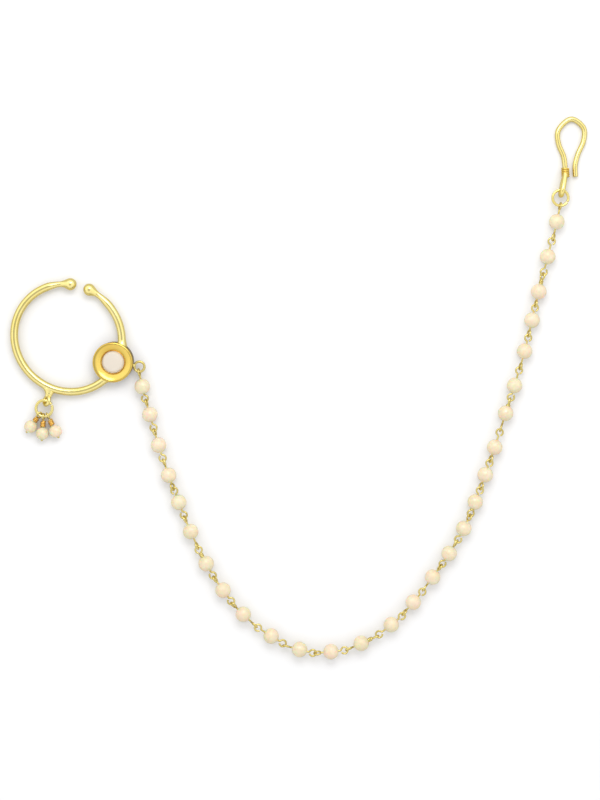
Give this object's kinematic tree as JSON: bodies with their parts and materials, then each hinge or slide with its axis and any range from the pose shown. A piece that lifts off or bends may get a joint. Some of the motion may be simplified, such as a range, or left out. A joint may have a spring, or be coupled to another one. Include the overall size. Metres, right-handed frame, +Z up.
{
  "type": "nath nose ring",
  "caption": "Open gold-tone hoop with ball ends, a dished round stone setting and a small pearl drop cluster, joined by a pearl eye-pin chain to a bent-wire hair hook.",
  "frame": {"origin": "middle of the underside of the whole piece as it lies", "axes": "+X from the hoop towards the chain's hook end, +Y towards the hoop's open ball ends and the hook's bow, +Z up, out of the face of the stone"},
  "size_m": [0.1484, 0.1402, 0.004],
  "materials": {
    "gold": "polished gold plate",
    "pearl": "pearl lustre",
    "stone": "polished, foil backed"
  },
  "bodies": {
    "root": {"nose_hoop": "gold", "stone": "stone", "drop_ring": "gold", "drop_pearl_1": "pearl", "drop_pin_1": "gold", "drop_pearl_2": "pearl", "drop_pin_2": "gold", "drop_pearl_3": "pearl", "drop_pin_3": "gold", "pearl_01": "pearl", "pearl_02": "pearl", "pearl_03": "pearl", "pearl_04": "pearl", "pearl_05": "pearl", "pearl_06": "pearl", "pearl_07": "pearl", "pearl_08": "pearl", "pearl_09": "pearl", "pearl_10": "pearl", "pearl_11": "pearl", "pearl_12": "pearl", "pearl_13": "pearl", "pearl_14": "pearl", "pearl_15": "pearl", "pearl_16": "pearl", "pearl_17": "pearl", "pearl_18": "pearl", "pearl_19": "pearl", "pearl_20": "pearl", "pearl_21": "pearl", "pearl_22": "pearl", "pearl_23": "pearl", "pearl_24": "pearl", "pearl_25": "pearl", "pearl_26": "pearl", "pearl_27": "pearl", "pearl_28": "pearl", "chain_wire_1": "gold", "chain_wire_2": "gold", "chain_wire_3": "gold", "chain_wire_4": "gold", "chain_wire_5": "gold", "chain_wire_6": "gold", "chain_wire_7": "gold", "hook_ring": "gold", "hook": "gold"}
  },
  "joints": []
}
